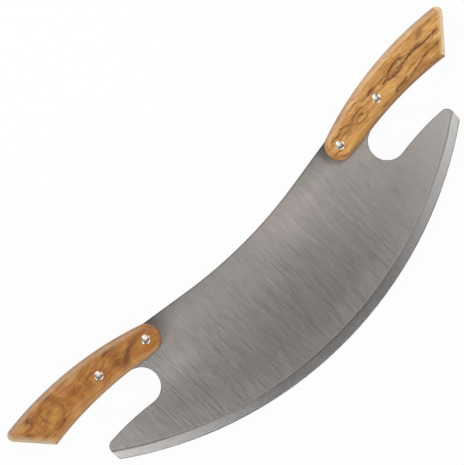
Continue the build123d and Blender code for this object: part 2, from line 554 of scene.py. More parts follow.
# %% Build the four scales
def make_scale(side, face):
    """One board: outline, thickness, rounded rim and counterbores."""
    node = f"{side}_{face}_scale"
    low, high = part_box(node)
    inner, outer = (low.z, high.z) if face == "front" else (high.z, low.z)
    outwards = 1 if face == "front" else -1
    board = raise_board(node + "_board", outline_of(node, inner), inner, outer)
    maker = bpy.data.objects.new(node + "_maker", board)
    scene.collection.objects.link(maker)
    rim = maker.modifiers.new("rim", "BEVEL")
    rim.limit_method = "WEIGHT"
    rim.width = rim_round
    rim.segments = rim_segments
    rim.miter_outer = "MITER_SHARP"
    rim.use_clamp_overlap = False

    through = abs(outer - inner) + cut_over
    profile = [
        (0, cut_over),
        (head_radius + bore_gap, cut_over),
        (head_radius + bore_gap, -head_depth),
        (shank_radius, -head_depth),
        (shank_radius, -through),
        (0, -through),
    ]
    profile = [(radius, height * outwards) for radius, height in profile]
    centres = [centre for centre in rivet_centres(face) if (centre.x > 0) == (side == "right")]
    cutters = [add_drill(maker, centre, profile) for centre in centres]
    evened = maker.modifiers.new("evened", "WEIGHTED_NORMAL")
    evened.keep_sharp = True

    name = f"{side}_{face}_board"
    piece = add_piece(name, plain_copy(maker, name, cutters))
    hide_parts(node)
    return piece


boards = {}
for side in sides:
    for face in ("front", "back"):
        boards[side, face] = make_scale(side, face)
        print(boards[side, face].name, len(boards[side, face].data.polygons), "faces")

# %% [markdown]
# ## Rivets
# Four two-part rivets hold the boards: a solid stud is pressed from the front into a tube from
# the back, and each half has a polished head. Identical fasteners are work for Geometry Nodes.
# One tree draws a half's section, sweeps it round a circle and sets it on every point given.

# %% Section of a rivet half
crown_bend_share = 0.75


def draw_section(tree, given):
    """Half the outline of a rivet half, from the top of its crown round to its axis."""

    def corner(radius, depth):
        """A corner of the section. The sweep adds the head's radius, so it is taken off here."""
        return join(tree, compute(tree, "SUBTRACT", radius, given["Head Radius"]), depth)

    seat = given["Head Depth"]
    tip = compute(tree, "ADD", seat, given["Shank Length"])
    crown_top = compute(tree, "MULTIPLY", given["Crown"], -1.0)
    crown_bend = compute(tree, "MULTIPLY", given["Head Radius"], crown_bend_share)
    corners = [
        corner(given["Head Radius"], 0.0),
        corner(given["Head Radius"], seat),
        corner(given["Shank Radius"], seat),
        corner(given["Shank Radius"], tip),
        corner(given["Bore Radius"], tip),
        corner(given["Bore Radius"], seat),
        corner(0.0, seat),
    ]
    crown_links = {
        "Resolution": given["Crown Rings"],
        "Start": corner(0.0, crown_top),
        "Middle": corner(crown_bend, crown_top),
        "End": corners[0],
    }
    section = add_node(tree, "GeometryNodeJoinGeometry")
    crown = add_node(tree, "GeometryNodeCurveQuadraticBezier", crown_links).outputs[0]
    tree.links.new(crown, section.inputs[0])
    for start, end in zip(corners, corners[1:]):
        line = add_node(tree, "GeometryNodeCurvePrimitiveLine", {"Start": start, "End": end})
        tree.links.new(line.outputs[0], section.inputs[0])
    return section.outputs[0]


print("the crown bends at", crown_bend_share, "of the head's radius")

# %% [markdown]
# The section is swept round a circle and its points are welded. Edges that are left without a
# face are deleted, and corners turn sharp by their angle. Then the half goes on every point.

# %% A tree that turns a rivet half and repeats it
hard_angle = radians(35)
no_face = 0.5
rivet_inputs = {
    "NodeSocketGeometry": ["Points"],
    FLOAT: [
        "Head Radius", "Crown", "Head Depth", "Shank Radius", "Shank Length", "Bore Radius", "Turn",
    ],
    "NodeSocketInt": ["Crown Rings", "Steps"],
    "NodeSocketMaterial": ["Finish"],
}


def turn_section(tree, given):
    """One rivet half as a shaded solid, its section swept round a circle."""
    ring_links = {"Resolution": given["Steps"], "Radius": given["Head Radius"]}
    ring = add_node(tree, "GeometryNodeCurvePrimitiveCircle", ring_links).outputs[0]
    swept = add_node(tree, "GeometryNodeCurveToMesh", {0: ring, 1: draw_section(tree, given)})
    merge_links = {"Geometry": swept.outputs[0], "Distance": weld_gap}
    merged = add_node(tree, "GeometryNodeMergeByDistance", merge_links).outputs[0]
    neighbours = add_node(tree, "GeometryNodeInputMeshEdgeNeighbors").outputs[0]
    bare = compute(tree, "LESS_THAN", neighbours, no_face)
    cleaned = add_node(tree, "GeometryNodeDeleteGeometry", {0: merged, 1: bare}, domain="EDGE")
    angle = add_node(tree, "GeometryNodeInputMeshEdgeAngle").outputs[0]
    hard = compute(tree, "GREATER_THAN", angle, hard_angle)
    smooth = add_node(tree, "GeometryNodeSetShadeSmooth", {0: cleaned.outputs[0]})
    sharp_links = {0: smooth.outputs[0], 1: hard, 2: False}
    return add_node(tree, "GeometryNodeSetShadeSmooth", sharp_links, domain="EDGE").outputs[0]


def make_rivet_tree():
    """A rivet half from its sizes, set on every point in one finish."""
    tree = bpy.data.node_groups.new("rivet_row", "GeometryNodeTree")
    for kind, names in rivet_inputs.items():
        for name in names:
            tree.interface.new_socket(name, in_out="INPUT", socket_type=kind)
    tree.interface.new_socket("Rivets", in_out="OUTPUT", socket_type="NodeSocketGeometry")
    given = tree.nodes.new("NodeGroupInput").outputs
    result = tree.nodes.new("NodeGroupOutput").inputs
    turn = join(tree, given["Turn"], 0.0)
    turn = add_node(tree, "FunctionNodeEulerToRotation", {0: turn}).outputs[0]
    half = turn_section(tree, given)
    set_links = {"Points": given["Points"], "Instance": half, "Rotation": turn}
    placed = add_node(tree, "GeometryNodeInstanceOnPoints", set_links).outputs[0]
    real = add_node(tree, "GeometryNodeRealizeInstances", {0: placed}).outputs[0]
    done_links = {"Geometry": real, "Material": given["Finish"]}
    done = add_node(tree, "GeometryNodeSetMaterial", done_links).outputs[0]
    tree.links.new(done, result[0])
    return tree


rivet_tree = make_rivet_tree()
print("tree", rivet_tree.name, "with", len(rivet_tree.nodes), "nodes")

# %% [markdown]
# The rivets are polished, and light use leaves faint scuffs on them: soft noise that makes the
# metal a little duller and darker in places. Nobody can tell one scuff from another, so noise
# is enough, and all the rivets share one material.

# %% Polished rivet metal
scuff_size = 2.0 * mm
scuff_range = (0.4, 0.7)
rivet_roughness = (0.3, 0.7, 0.30, 0.36)
# Both tones are tinted warm as a painted reflection of the wood round the heads
bright_metal = (0.85, 0.755, 0.665, 1)
scuffed_metal = (0.76, 0.66, 0.565, 1)


def make_rivet_metal():
    """Polished metal with faint scuffs, tinted warm as a painted reflection of the wood."""
    material, tree, shader, given = new_material("polished_rivet")
    scuffs = noise(tree, given["Object"], scuff_size, 1.0)[0]
    scuffed = rescale(tree, scuffs, *scuff_range)
    colour = blend_colours(tree, scuffed, bright_metal, scuffed_metal)
    rough = rescale(tree, scuffs, *rivet_roughness)
    feed(tree, shader, {"Base Color": colour, "Metallic": 1.0, "Roughness": rough})
    return material


rivet_metal = make_rivet_metal()
print("rivet metal has", len(rivet_metal.node_tree.nodes), "nodes")

# %% [markdown]
# The stud goes into the tube, so its shank is thinner than the tube's bore by a hair, and both
# shanks stop short of the far head's seat. Everything else is the same for both halves, so two
# short lists of sizes and one tree are enough for the eight of them.

# %% Set the rivets
shank_gap = 0.6 * mm
stud_radius = 1.5 * mm
tube_bore = 1.52 * mm
wood_thickness = wood_high.z - wood_low.z
plate_thickness = blade_high.z - blade_low.z
head_sizes = {
    "Head Radius": head_radius,
    "Crown": head_crown,
    "Head Depth": head_depth,
    "Shank Length": 2 * wood_thickness + plate_thickness - 2 * head_depth - shank_gap,
    "Crown Rings": 12,
    "Steps": 64,
}
stud_sizes = {"Shank Radius": stud_radius, "Bore Radius": 0.0, "Turn": 0.0}
tube_sizes = {"Shank Radius": shank_radius, "Bore Radius": tube_bore, "Turn": pi}


def set_rivets(name, face, sizes):
    """All rivet halves of one face as one plain mesh."""
    points = bpy.data.meshes.new(name + "_points")
    points.from_pydata(rivet_centres(face), [], [])
    maker = bpy.data.objects.new(name + "_maker", points)
    scene.collection.objects.link(maker)
    nodes = maker.modifiers.new("rivets", "NODES")
    nodes.node_group = rivet_tree
    for item in rivet_tree.interface.items_tree:
        if item.in_out == "INPUT" and item.name in sizes:
            nodes[item.identifier] = sizes[item.name]
        elif item.name == "Finish":
            nodes[item.identifier] = rivet_metal
    piece = add_piece(name, plain_copy(maker, name))
    half = rivet_halves[face]
    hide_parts(*[f"{s}_{p}_rivet_{half}" for s in sides for p in rivet_places])
    print(name, len(piece.data.polygons), "faces")


set_rivets("rivet_studs", "front", {**head_sizes, **stud_sizes})
set_rivets("rivet_tubes", "back", {**head_sizes, **tube_sizes})

# %% [markdown]
# ## Steel
# Brushed steel is metal with fine parallel marks. On the flats they run square to the length,
# and on the bevel they run out from the rocker's centre, as the grinding wheel leaves them. A
# picture of brushed steel could not turn at the bevel and would blur close by, so the marks
# are noise. Noise needs places: how far out a point lies, and how far round the rocker.

# %% Places on the steel
rocker_radius = 302 * mm
rocker_centre_y = blade_low.y + rocker_radius


def steel_places(tree, given):
    """The distances, directions and marked faces that the finish of the steel is drawn by."""
    x, y, z = split(tree, given["Object"])
    below = compute(tree, "SUBTRACT", rocker_centre_y, y)
    outwards = compute_vector(tree, "LENGTH", join(tree, x, below))
    around = compute(tree, "MULTIPLY", compute(tree, "ARCTAN2", x, below), rocker_radius)
    at = {"x": x, "y": y, "below": below, "outwards": outwards}
    at["from_middle"] = compute(tree, "ABSOLUTE", x)
    at["from_edge"] = compute(tree, "SUBTRACT", rocker_radius, outwards)
    at["flat_place"] = join(tree, y, x, z)
    at["bevel_place"] = join(tree, outwards, around, z)
    for mark in marked_kinds:
        at[mark] = add_node(tree, "ShaderNodeAttribute", attribute_name=mark).outputs["Fac"]
    return at


print("the rocker's centre is", round(rocker_centre_y / mm, 1), "mm up from the origin")

# %% [markdown]
# Close up, the marks are darker lines of two kinds: fine ones, and short broad ones that are
# only seen as unevenness. The metal between them drifts from grey to a warmer grey.

# %% Brush marks and their colour
# Each marks value is: length, width, seed. Each range is: from, to, and the strength at each
flat_marks = (16 * mm, 0.45 * mm, 2.0)
bevel_marks = (9 * mm, 0.3 * mm, 5.0)
broad_marks = (8 * mm, 2.6 * mm, 8.0)
fine_range = (0.25, 0.75, 0.0, 0.27)
broad_range = (0.30, 0.70, 0.0, 0.33)
warmth_size = 70 * mm
warmth_range = (0.35, 0.65)
steel_grey = (0.59, 0.558, 0.52, 1)
steel_warm = (0.63, 0.577, 0.542, 1)
mark_shade = (0.30, 0.287, 0.272, 1)


def brushed_colour(tree, given, at):
    """The marks of flats and bevel together, and the colour they give the steel."""
    on_flats = draw_streaks(tree, at["flat_place"], *flat_marks)
    on_bevel = draw_streaks(tree, at["bevel_place"], *bevel_marks)
    marks = blend_values(tree, at["ground"], on_flats, on_bevel)
    warmth = noise(tree, given["Object"], warmth_size, 2.0)[0]
    warmth = rescale(tree, warmth, *warmth_range)
    colour = blend_colours(tree, warmth, steel_grey, steel_warm)
    fine = rescale(tree, marks, *fine_range, smooth=False)
    colour = blend_colours(tree, fine, colour, mark_shade)
    broad = draw_streaks(tree, at["flat_place"], *broad_marks)
    broad = rescale(tree, broad, *broad_range, smooth=False)
    return marks, blend_colours(tree, broad, colour, mark_shade)


print("fine marks are", round(flat_marks[1] / mm, 2), "mm wide")

# %% [markdown]
# A flat plate mirrors the whole studio, so its brightness drifts in five faint clouds: one
# darker, one rosy and three lighter. They are painted as soft ellipses, the darker one as painted
# shade and the lighter ones as painted highlights. The distance inside an ellipse is worked out
# by one helper, which the figure of the wood uses again.

# %% Painted light and shade on the flats
cloud_core = 0.2
painted_highlight_tone = (0.90, 0.86, 0.82, 1)
# Painted shade, a rosy tint and three painted highlights, in this order
# Middle along and across, half size along and across, tone and strength
painted_light_clouds = [
    (15 * mm, -25 * mm, 95 * mm, 42 * mm, (0.36, 0.345, 0.33, 1), 0.45),
    (38 * mm, 30 * mm, 50 * mm, 26 * mm, (0.76, 0.65, 0.62, 1), 0.35),
    (165 * mm, -2 * mm, 62 * mm, 40 * mm, painted_highlight_tone, 0.18),
    (-165 * mm, 2 * mm, 40 * mm, 26 * mm, painted_highlight_tone, 0.10),
    (-100 * mm, 11 * mm, 32 * mm, 16 * mm, painted_highlight_tone, 0.25),
]


def distance_in_ellipse(tree, place, middle, half_size, turn=0.0):
    """0 in the middle of a turned ellipse and 1 on its rim."""
    links = {"Vector": compute_vector(tree, "SUBTRACT", place, middle), "Angle": turn}
    turned = add_node(tree, "ShaderNodeVectorRotate", links, rotation_type="Z_AXIS").outputs[0]
    return compute_vector(tree, "LENGTH", compute_vector(tree, "DIVIDE", turned, half_size))


def paint_light_clouds(tree, given, colour):
    """The faint clouds of painted light and shade, laid over the steel one by one."""
    for x, y, half_x, half_y, tone, strength in painted_light_clouds:
        reach = distance_in_ellipse(tree, given["Object"], (x, y, 0), (half_x, half_y, 1))
        mask = rescale(tree, reach, 1.0, cloud_core, 0.0, strength)
        colour = blend_colours(tree, mask, colour, tone)
    return colour


print(len(painted_light_clouds), "clouds")

# %% [markdown]
# Two places get painted shade: the corner where the plate runs under the rounded end of a
# handle, and the strip along the spine near the hands. Both are painted darker, and the spine
# ends in a thin dark line, a painted dark reflection. The strip follows the hollow spine, which
# is an arc in the middle and nearly straight further out, so the depth below that curve is
# worked out from its sizes.

# %% Painted shade by the handles and along the spine
nose_centre = Vector((stud_low.x + head_radius, stud_low.y + head_radius, 0))
nose_radius = nose_centre.x - wood_low.x
corner_shade_width = 8 * mm
# Each range is: from, to, and the strength at each
nose_range = (-9 * mm, 4 * mm, 0.0, 0.42)
edge_line_range = (1.6 * mm, 0.6 * mm, 0.0, 0.30)
# Painted shade beside the noses and below the spine, and a painted dark reflection on its edge
corner_shade_tone = (0.13, 0.105, 0.09, 1)
spine_radius = 361.5 * mm
spine_bend_x = 56 * mm
spine_slope = 0.157
spine_y = max(v.co.y for v in blade_mesh.vertices if abs(v.co.x) < 2 * mm)
spine_shade_depth = 13 * mm
spine_shade_reach = (30 * mm, 90 * mm)
spine_shade_bend = 1.5
spine_shade_rise = 0.45
spine_shade_least = 0.12
painted_dark_tone = (0.05, 0.045, 0.04, 1)


def depth_below_spine(tree, at):
    """How far a point lies below the back of the plate."""
    arc_x = compute(tree, "MINIMUM", at["from_middle"], spine_bend_x)
    straight_x = compute(tree, "SUBTRACT", at["from_middle"], arc_x)
    rise = compute(tree, "MULTIPLY", compute(tree, "POWER", arc_x, 2.0), 0.5 / spine_radius)
    rise = compute(tree, "MULTIPLY_ADD", straight_x, spine_slope, rise)
    return compute(tree, "SUBTRACT", compute(tree, "ADD", rise, spine_y), at["y"])


def paint_shade_by_handles(tree, at, colour):
    """Painted shade in the corners beside the wood and in a strip below the spine, and a painted
    dark reflection on its edge.
    """
    half_place = join(tree, at["from_middle"], at["y"])
    from_nose = compute_vector(tree, "DISTANCE", half_place, nose_centre)
    corner = rescale(tree, from_nose, nose_radius + corner_shade_width, nose_radius)
    height = compute(tree, "SUBTRACT", at["y"], nose_centre.y)
    upper = rescale(tree, height, *nose_range)
    # Painted shade in the corner round each nose, strongest towards the spine
    colour = tint(tree, corner, upper, colour, corner_shade_tone)

    # Painted shade in a strip below the spine, and a painted dark reflection along its edge
    depth = depth_below_spine(tree, at)
    stain_and_shade = rescale(tree, at["from_middle"], *spine_shade_reach, smooth=False)
    stain_and_shade = compute(tree, "POWER", stain_and_shade, spine_shade_bend)
    stain_and_shade = compute(tree, "MULTIPLY_ADD", stain_and_shade, spine_shade_rise, spine_shade_least)
    near_spine = rescale(tree, depth, spine_shade_depth, 0.0, smooth=False)
    colour = tint(tree, stain_and_shade, near_spine, colour, painted_dark_tone)
    edge_line = rescale(tree, depth, *edge_line_range)
    return blend_colours(tree, edge_line, colour, painted_dark_tone)


print("the spine's middle is at", round(spine_y / mm, 1), "mm")

# %% [markdown]
# Grinding leaves its own tone on the bevel. A painted highlight lies just above the bevel and
# along the crease between the two, and the middle of the bevel gets a painted highlight too.
# The honed edge is painted as a dark line, most of all in the middle. The sheared rim of the
# plate is painted darkest of all, as a painted dark reflection.

# %% Tones of the bevel and the edges, with painted light and shade
bevel_width = 8.2 * mm
ground_strength = 0.6
ground_tone = (0.63, 0.62, 0.615, 1)
# Painted highlights above the bevel, on its crease and in its middle; a painted dark reflection on
# the sheared rim
# Each range is: from, to, and the strength at each
highlight_range = (30 * mm, 10 * mm, 0.0, 0.20)
crease_range = (1.6 * mm, 0.0, 0.0, 0.26)
bevel_highlight_range = (64 * mm, 10 * mm, 0.0, 0.55)
honed_range = (160 * mm, 105 * mm, 0.3, 1.0)
honed_tone = (0.12, 0.12, 0.124, 1)
sheared_range = (20 * mm, nose_centre.x - nose_radius, 0.6, 1.0)
dark_reflection_tone = (0.045, 0.045, 0.05, 1)


def shade_edges(tree, at, colour):
    """The ground bevel, painted highlights above it, on its crease and in its middle, the honed
    edge, and a painted dark reflection on the rim.
    """
    middle = at["from_middle"]
    colour = tint(tree, at["ground"], ground_strength, colour, ground_tone)

    # Painted highlight above the bevel, along the crease and in the middle of the bevel
    painted_highlight = rescale(tree, at["from_edge"], *highlight_range)
    on_flats = compute(tree, "SUBTRACT", 1.0, at["ground"])
    painted_highlight = compute(tree, "MULTIPLY", painted_highlight, on_flats)
    from_crease = gap_between(tree, at["from_edge"], bevel_width)
    painted_highlight = compute(tree, "ADD", painted_highlight, rescale(tree, from_crease, *crease_range))
    painted_light_share = rescale(tree, middle, *bevel_highlight_range)
    painted_highlight = compute(tree, "MULTIPLY_ADD", at["ground"], painted_light_share, painted_highlight)
    colour = blend_colours(tree, painted_highlight, colour, painted_highlight_tone)

    honed = rescale(tree, middle, *honed_range)
    colour = tint(tree, at["honed"], honed, colour, honed_tone)
    # Painted dark reflection on the sheared rim
    sheared = rescale(tree, middle, *sheared_range)
    return tint(tree, at["sheared"], sheared, colour, dark_reflection_tone)


print("the bevel is drawn", round(bevel_width / mm, 1), "mm wide")

# %% [markdown]
# Light is stretched across brush marks, so the shader is anisotropic, and its tangent turns
# from the flats to the bevel as the marks do. Two bumps tilt the light: one follows the grind,
# a little steeper towards the edge than the mesh, and one follows the marks.

# %% Brushed steel
grind_slope = 0.095
grind_ease = 0.8 * mm
mark_bump = {"Strength": 0.12, "Distance": 0.02 * mm}
steel_roughness = (0.2, 0.8, 0.28, 0.46)
steel_stretch = 0.85


def steel_normal(tree, at, marks):
    """The surface direction with the grind's slope and the brush marks in it."""
    into_bevel = compute(tree, "SUBTRACT", at["outwards"], rocker_radius - bevel_width)
    into_bevel = compute(tree, "MAXIMUM", into_bevel, 0.0)
    eased = compute(tree, "MULTIPLY_ADD", into_bevel, into_bevel, grind_ease**2)
    fall = compute(tree, "MULTIPLY", compute(tree, "SQRT", eased), -grind_slope)
    links = {"Height": fall, "Strength": 1.0, "Distance": 1.0}
    links = {"Height": marks, "Normal": add_node(tree, "ShaderNodeBump", links).outputs[0]}
    return add_node(tree, "ShaderNodeBump", {**links, **mark_bump}).outputs[0]


def make_steel():
    """Brushed, ground and honed steel for the whole plate, with its painted light and shade."""
    material, tree, shader, given = new_material("brushed_steel")
    at = steel_places(tree, given)
    marks, colour = brushed_colour(tree, given, at)
    colour = paint_light_clouds(tree, given, colour)
    colour = paint_shade_by_handles(tree, at, colour)
    colour = shade_edges(tree, at, colour)
    turn_along = compute(tree, "MULTIPLY", at["x"], at["ground"])
    links = {
        "Base Color": colour,
        "Metallic": 1.0,
        "Roughness": rescale(tree, marks, *steel_roughness, smooth=False),
        "Normal": steel_normal(tree, at, marks),
        "Anisotropic": steel_stretch,
        "Tangent": join(tree, at["below"], turn_along),
    }
    feed(tree, shader, links)
    return material


steel = make_steel()
blade.data.materials.clear()
blade.data.materials.append(steel)
print("steel has", len(steel.node_tree.nodes), "nodes")

# %% [markdown]
# ## Olive wood
# Olive wood is golden to reddish brown, with dark veins that run along the grain and bend
# round knots. Each handle has its own figure, drawn from a few kinds of mark: a soft patch of
# another tone, a ring round a swirl, a knot that pushes the grain aside, and a vein. Each kind
# is a node group that gives a mask, and the materials place it as often as they need it.

# %% Patches, rings and knots
mask_core = 0.1
default_ring_width = 0.2
default_force = 0.8
ellipse_inputs = [
    ("Place", VECTOR, None),
    ("Middle", VECTOR, None),
    ("Half Size", VECTOR, None),
    ("Turn", FLOAT, 0.0),
]


def new_ellipse_group(name, result_name, more_inputs=()):
    """A group with an ellipse among its inputs, and the distance in that ellipse."""
    inputs = [*ellipse_inputs, *more_inputs]
    tree, given, result = new_group(name, inputs, [(result_name, FLOAT)])
    ellipse = [given[socket_name] for socket_name, kind, value in ellipse_inputs]
    return tree, given, result[result_name], distance_in_ellipse(tree, *ellipse)


def make_patch():
    """A soft spot: 1 in the middle of an ellipse, 0 outside it."""
    tree, given, result, reach = new_ellipse_group("soft_patch", "Mask")
    tree.links.new(rescale(tree, reach, 1.0, mask_core), result)
    return tree


def make_ring():
    """A soft line round an ellipse, such as the dark rim of a pale swirl."""
    more = [("Width", FLOAT, default_ring_width)]
    tree, given, result, reach = new_ellipse_group("soft_ring", "Mask", more)
    gap = compute(tree, "DIVIDE", gap_between(tree, reach, 1.0), given["Width"])
    tree.links.new(rescale(tree, gap, 1.0, mask_core), result)
    return tree


def make_knot():
    """How far the grain steps aside, across the board, to go round a knot."""
    more = [("Force", FLOAT, default_force)]
    tree, given, result, reach = new_ellipse_group("knot", "Step", more)
    near = compute(tree, "MULTIPLY", rescale(tree, reach, 1.0, 0.0), given["Force"])
    across = split(tree, given["Place"])[1]
    step = compute(tree, "SUBTRACT", split(tree, given["Middle"])[1], across)
    tree.links.new(compute(tree, "MULTIPLY", step, near), result)
    return tree


soft_patch = make_patch()
soft_ring = make_ring()
knot = make_knot()
print("groups", soft_patch.name, soft_ring.name, knot.name)

# %% [markdown]
# A vein is a line that runs along the board. A Float Curve node gives its height for every
# place along the handle, so the group only has to compare: how far is this point from the line,
# and does it lie between the line's two ends?

# %% Veins
line_core = 0.35


def make_vein():
    """A dark line along the board, and the stain on both its sides."""
    inputs = [
        ("Across", FLOAT, 0.0),
        ("Line", FLOAT, 0.0),
        ("Half Width", FLOAT, 0.01),
        ("Along", FLOAT, 0.0),
        ("Start", FLOAT, 0.0),
        ("End", FLOAT, 1.0),
        ("Fade", FLOAT, 0.03),
        ("Stain Width", FLOAT, 4.0),
    ]
    tree, given, result = new_group("vein_line", inputs, [("Mask", FLOAT), ("Stain", FLOAT)])
    gap = gap_between(tree, given["Across"], given["Line"])
    gap = compute(tree, "DIVIDE", gap, given["Half Width"])
    after = compute(tree, "SUBTRACT", given["Along"], given["Start"])
    before = compute(tree, "SUBTRACT", given["End"], given["Along"])
    inside = compute(tree, "DIVIDE", compute(tree, "MINIMUM", after, before), given["Fade"])
    shown = rescale(tree, inside, 0.0, 1.0)
    near = rescale(tree, gap, 1.0, line_core)
    tree.links.new(compute(tree, "MULTIPLY", near, shown), result["Mask"])
    stained = rescale(tree, compute(tree, "DIVIDE", gap, given["Stain Width"]), 1.0, 0.0)
    tree.links.new(compute(tree, "MULTIPLY", stained, shown), result["Stain"])
    return tree


def draw_line(curve, points):
    """Gives a Float Curve node the points of a line, level before its start and after its end."""
    line = curve.mapping.curves[0]
    line.points[0].location = (0, points[0][1])
    line.points[1].location = (1, points[-1][1])
    for x, y in points:
        line.points.new(x, y)
    curve.mapping.update()


vein_line = make_vein()
print("group", vein_line.name)

# %% [markdown]
# The tables below are the figure of each handle. Places and sizes are shares of
# the handle's length and depth, from the round inner end to the slanted end and from low to
# high, and turns are in degrees. Every figure starts with its tones:
# - dark to pale are the wood itself, and gold and orange its clearer areas
# - vein and smudge are the dark marks
# - the last four are the rim's painted light and shade on the back, the belly, the slanted and
#   round ends
#
# After them come the shares of the noise layers and the shoulders, the bands of painted light
# and shade beside the rim: tone, depth below the rim and strength. Then the marks, in this
# order of values:
# - knot: middle along and across, half size along and across, turn, force
# - patch: middle, half size, turn, tone, strength
# - swirl: middle, half size, turn, ring width, tone, strength
# - vein: its points, half width, strength

# %% Tones and bands of the right-hand handle
golden = {"name": "golden_olive", "side": "right", "seed": 1.0}
golden["tones"] = {
    "dark": (0.21, 0.0735, 0.0192, 1),
    "deep": (0.46, 0.194, 0.0462, 1),
    "middle": (0.598, 0.296, 0.0864, 1),
    "light": (0.759, 0.43, 0.146, 1),
    "pale": (0.92, 0.605, 0.268, 1),
    "gold": (0.782, 0.436, 0.104, 1),
    "vein": (0.14, 0.046, 0.010, 1),
    "smudge": (0.21, 0.080, 0.032, 1),
    # The rim's tones: painted light and shade on the back, the belly, the slanted end and the nose
    "rim": (0.53, 0.39, 0.26, 1),
    "held": (0.14, 0.05, 0.012, 1),
    "end": (0.98, 0.70, 0.40, 1),
    "nose": (0.40, 0.20, 0.06, 1),
}
golden["shares"] = {"broad": 0.26, "clouds": 0.14, "rings": 0.28, "grain": 0.32}
# Painted light along the back and the slanted end, and painted shade along the belly
golden["shoulders"] = {
    "back": ("end", 3.6 * mm, 0.24),
    "belly": ("held", 4.0 * mm, 0.38),
    "end": ("end", 3.2 * mm, 0.36),
}
print(len(golden["tones"]), "tones")

# %% Knots, patches and swirls of the right-hand handle
golden["knots"] = [
    (0.60, 0.62, 0.11, 0.16, 0, 0.9),
    (0.26, 0.43, 0.06, 0.12, 0, 0.9),
    (0.56, 0.27, 0.05, 0.08, 0, 0.7),
    (0.41, 0.50, 0.04, 0.14, 0, 0.7),
]
golden["patches"] = [
    (0.19, 0.15, 0.17, 0.10, 6, "gold", 0.9),
    (0.10, 0.12, 0.05, 0.05, 0, "pale", 0.4),
    (0.50, 0.47, 0.08, 0.07, 0, "gold", 0.6),
    (0.56, 0.41, 0.10, 0.05, 0, "pale", 0.1),
    (0.61, 0.63, 0.06, 0.05, 8, "pale", 0.75),
    (0.88, 0.70, 0.06, 0.09, 0, "gold", 0.65),
    (0.745, 0.640, 0.085, 0.080, 0, "smudge", 0.75),
    (0.80, 0.59, 0.03, 0.04, 0, "smudge", 0.5),
    (0.815, 0.76, 0.045, 0.15, -14, "smudge", 0.50),
    (0.42, 0.24, 0.055, 0.07, 0, "smudge", 0.55),
    (0.31, 0.38, 0.03, 0.05, 0, "deep", 0.5),
    (0.70, 0.80, 0.05, 0.06, 0, "deep", 0.4),
    (0.27, 0.43, 0.045, 0.07, 0, "deep", 0.5),
    (0.40, 0.75, 0.06, 0.06, 0, "deep", 0.35),
    (0.20, 0.455, 0.030, 0.065, 20, "smudge", 0.75),
    (0.405, 0.620, 0.050, 0.07, 0, "smudge", 0.95),
    (0.345, 0.625, 0.04, 0.04, -10, "smudge", 0.35),
    (0.515, 0.28, 0.022, 0.04, 0, "smudge", 0.6),
    (0.86, 0.27, 0.07, 0.10, 0, "deep", 0.55),
    (0.87, 0.485, 0.06, 0.04, 0, "pale", 0.7),
    (0.75, 0.50, 0.06, 0.05, 0, "light", 0.3),
    (0.70, 0.26, 0.08, 0.06, 0, "deep", 1.0),
    (0.80, 0.395, 0.05, 0.04, 0, "deep", 0.6),
]
golden["swirls"] = [
    (0.605, 0.63, 0.080, 0.085, 10, 0.25, "smudge", 0.22),
    (0.262, 0.43, 0.058, 0.095, 8, 0.35, "smudge", 0.22),
]
print(len(golden["patches"]), "patches")

# %% Veins of the right-hand handle
golden["veins"] = [
    ([(0.47, 0.585), (0.50, 0.565), (0.53, 0.543), (0.57, 0.54), (0.61, 0.565), (0.75, 0.63)],
     0.022, 0.75),
    ([(0.66, 0.60), (0.73, 0.625), (0.78, 0.605), (0.82, 0.59), (0.87, 0.575), (0.93, 0.555)],
     0.018, 0.92),
    ([(0.505, 0.58), (0.53, 0.605), (0.555, 0.65), (0.59, 0.69), (0.63, 0.715), (0.67, 0.735)],
     0.019, 0.9),
    ([(0.56, 0.61), (0.60, 0.655), (0.64, 0.675), (0.68, 0.66)], 0.010, 0.42),
    ([(0.55, 0.585), (0.59, 0.60), (0.63, 0.62), (0.67, 0.635)], 0.010, 0.45),
    ([(0.45, 0.63), (0.49, 0.64), (0.54, 0.655)], 0.016, 0.4),
    ([(0.50, 0.265), (0.515, 0.295), (0.535, 0.31), (0.57, 0.315), (0.62, 0.345)], 0.025, 0.95),
    ([(0.505, 0.30), (0.52, 0.26), (0.54, 0.265)], 0.020, 0.8),
    ([(0.60, 0.30), (0.63, 0.29), (0.66, 0.32), (0.70, 0.335), (0.75, 0.365), (0.80, 0.375)],
     0.015, 0.7),
    ([(0.73, 0.375), (0.78, 0.385), (0.84, 0.395), (0.91, 0.415)], 0.016, 0.6),
    ([(0.80, 0.355), (0.85, 0.36), (0.90, 0.38)], 0.012, 0.4),
    ([(0.03, 0.36), (0.05, 0.43), (0.08, 0.46), (0.12, 0.48), (0.16, 0.50), (0.20, 0.49)],
     0.017, 0.58),
    ([(0.205, 0.45), (0.225, 0.49), (0.25, 0.525), (0.29, 0.535), (0.33, 0.52)], 0.017, 0.7),
    ([(0.21, 0.40), (0.235, 0.36), (0.27, 0.345), (0.30, 0.35)], 0.014, 0.6),
    ([(0.21, 0.43), (0.25, 0.42), (0.27, 0.44), (0.31, 0.42)], 0.022, 0.45),
    ([(0.295, 0.43), (0.305, 0.40), (0.315, 0.37)], 0.016, 0.6),
    ([(0.12, 0.29), (0.16, 0.34), (0.20, 0.385)], 0.014, 0.45),
    ([(0.38, 0.61), (0.40, 0.635), (0.43, 0.64), (0.45, 0.62)], 0.017, 0.7),
    ([(0.31, 0.66), (0.335, 0.625), (0.36, 0.635), (0.385, 0.655)], 0.015, 0.55),
    ([(0.345, 0.42), (0.355, 0.48), (0.375, 0.55)], 0.013, 0.4),
    ([(0.015, 0.36), (0.025, 0.22), (0.045, 0.11), (0.08, 0.05)], 0.022, 0.5),
]
print(len(golden["veins"]), "veins")

